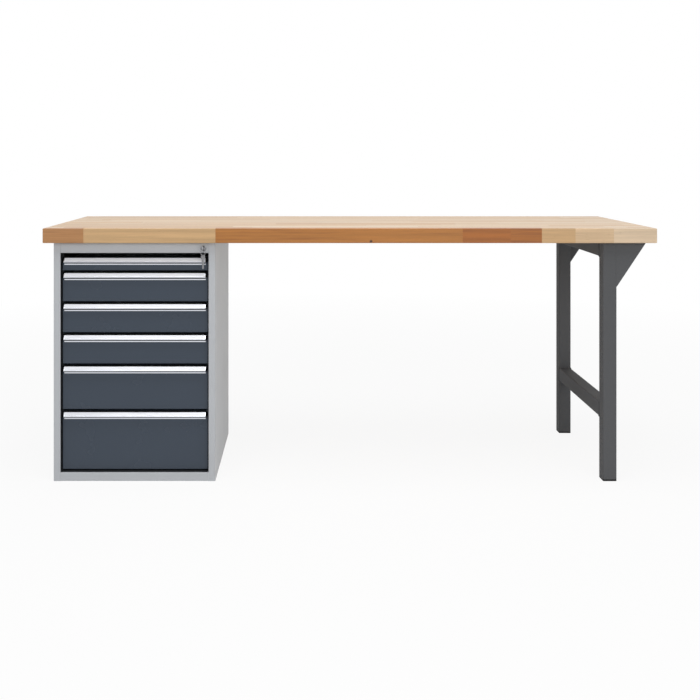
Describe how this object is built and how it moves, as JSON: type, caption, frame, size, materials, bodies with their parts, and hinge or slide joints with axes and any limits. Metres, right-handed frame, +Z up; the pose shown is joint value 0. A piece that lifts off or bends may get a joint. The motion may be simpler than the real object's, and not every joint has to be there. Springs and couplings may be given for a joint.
{
  "type": "workbench",
  "caption": "Pedestal workbench: a thick wooden worktop on a lockable steel drawer cabinet at one end and an open tube leg frame at the other.",
  "frame": {"origin": "on the floor under the middle of the worktop", "axes": "+X to the right along the worktop, the drawer fronts face -Y, +Z up"},
  "size_m": [2, 0.7, 0.83],
  "materials": {
    "beech": "oiled edge-glued beech",
    "light_grey_paint": "light grey powder coat",
    "dark_grey_paint": "dark grey powder coat",
    "anthracite_paint": "semi-gloss anthracite powder coat",
    "zinc_steel": "zinc-plated sheet",
    "aluminium": "anodised extrusion",
    "label_white": "plain strip under a clear cover",
    "black_plastic": "moulded",
    "nickel": "nickel plated"
  },
  "bodies": {
    "bench": {"worktop": "beech", "left_side_panel": "light_grey_paint", "right_side_panel": "light_grey_paint", "top_panel": "light_grey_paint", "base_panel": "light_grey_paint", "back_panel": "light_grey_paint", "front_post": "dark_grey_paint", "rear_post": "dark_grey_paint", "leg_top_beam": "dark_grey_paint", "leg_crossbar": "dark_grey_paint", "front_gusset": "dark_grey_paint", "rear_gusset": "dark_grey_paint", "front_foot": "black_plastic", "rear_foot": "black_plastic", "lock_housing": "nickel"},
    "drawer_1": {"drawer_1_box": "zinc_steel", "drawer_1_front": "anthracite_paint", "drawer_1_handle": "aluminium", "drawer_1_label": "label_white"},
    "slides_1": {"slide_1_left": "zinc_steel", "slide_1_right": "zinc_steel"},
    "drawer_2": {"drawer_2_box": "zinc_steel", "drawer_2_front": "anthracite_paint", "drawer_2_handle": "aluminium", "drawer_2_label": "label_white"},
    "slides_2": {"slide_2_left": "zinc_steel", "slide_2_right": "zinc_steel"},
    "drawer_3": {"drawer_3_box": "zinc_steel", "drawer_3_front": "anthracite_paint", "drawer_3_handle": "aluminium", "drawer_3_label": "label_white"},
    "slides_3": {"slide_3_left": "zinc_steel", "slide_3_right": "zinc_steel"},
    "drawer_4": {"drawer_4_box": "zinc_steel", "drawer_4_front": "anthracite_paint", "drawer_4_handle": "aluminium", "drawer_4_label": "label_white"},
    "slides_4": {"slide_4_left": "zinc_steel", "slide_4_right": "zinc_steel"},
    "drawer_5": {"drawer_5_box": "zinc_steel", "drawer_5_front": "anthracite_paint", "drawer_5_handle": "aluminium", "drawer_5_label": "label_white"},
    "slides_5": {"slide_5_left": "zinc_steel", "slide_5_right": "zinc_steel"},
    "drawer_6": {"drawer_6_box": "zinc_steel", "drawer_6_front": "anthracite_paint", "drawer_6_handle": "aluminium", "drawer_6_label": "label_white"},
    "slides_6": {"slide_6_left": "zinc_steel", "slide_6_right": "zinc_steel"},
    "lock_barrel": {"lock_core": "nickel", "lock_cam": "zinc_steel", "key": "nickel"},
    "key_ring": {"key_ring": "nickel"},
    "locking_bar": {"locking_bar": "zinc_steel"}
  },
  "joints": [
    {"name": "drawer_1_slide", "type": "slide", "parent": "bench", "child": "drawer_1", "axis": [0, -1, 0], "range_m": [0, 0.5]},
    {"name": "slides_1_run", "type": "slide", "parent": "bench", "child": "slides_1", "axis": [0, -1, 0], "range_m": [0, 0.25]},
    {"name": "drawer_2_slide", "type": "slide", "parent": "bench", "child": "drawer_2", "axis": [0, -1, 0], "range_m": [0, 0.5]},
    {"name": "slides_2_run", "type": "slide", "parent": "bench", "child": "slides_2", "axis": [0, -1, 0], "range_m": [0, 0.25]},
    {"name": "drawer_3_slide", "type": "slide", "parent": "bench", "child": "drawer_3", "axis": [0, -1, 0], "range_m": [0, 0.5]},
    {"name": "slides_3_run", "type": "slide", "parent": "bench", "child": "slides_3", "axis": [0, -1, 0], "range_m": [0, 0.25]},
    {"name": "drawer_4_slide", "type": "slide", "parent": "bench", "child": "drawer_4", "axis": [0, -1, 0], "range_m": [0, 0.5]},
    {"name": "slides_4_run", "type": "slide", "parent": "bench", "child": "slides_4", "axis": [0, -1, 0], "range_m": [0, 0.25]},
    {"name": "drawer_5_slide", "type": "slide", "parent": "bench", "child": "drawer_5", "axis": [0, -1, 0], "range_m": [0, 0.5]},
    {"name": "slides_5_run", "type": "slide", "parent": "bench", "child": "slides_5", "axis": [0, -1, 0], "range_m": [0, 0.25]},
    {"name": "drawer_6_slide", "type": "slide", "parent": "bench", "child": "drawer_6", "axis": [0, -1, 0], "range_m": [0, 0.5]},
    {"name": "slides_6_run", "type": "slide", "parent": "bench", "child": "slides_6", "axis": [0, -1, 0], "range_m": [0, 0.25]},
    {"name": "lock_turn", "type": "hinge", "parent": "bench", "child": "lock_barrel", "pos_m": [-0.479, -0.325, 0.7617], "axis": [0, 1, 0], "range_deg": [0, 90]},
    {"name": "locking_bar_drop", "type": "slide", "parent": "bench", "child": "locking_bar", "axis": [0, 0, -1], "range_m": [0, 0.006]},
    {"name": "ring_swing", "type": "hinge", "parent": "lock_barrel", "child": "key_ring", "pos_m": [-0.479, -0.3398, 0.7535], "axis": [-1, 0, 0], "range_deg": [-10, 85]}
  ],
  "couplings": [
    {"joint": "slides_1_run", "follows": "drawer_1_slide", "ratio": 0.5},
    {"joint": "slides_2_run", "follows": "drawer_2_slide", "ratio": 0.5},
    {"joint": "slides_3_run", "follows": "drawer_3_slide", "ratio": 0.5},
    {"joint": "slides_4_run", "follows": "drawer_4_slide", "ratio": 0.5},
    {"joint": "slides_5_run", "follows": "drawer_5_slide", "ratio": 0.5},
    {"joint": "slides_6_run", "follows": "drawer_6_slide", "ratio": 0.5},
    {"joint": "lock_turn", "follows": "locking_bar_drop", "rad_per_m": 261.79}
  ]
}
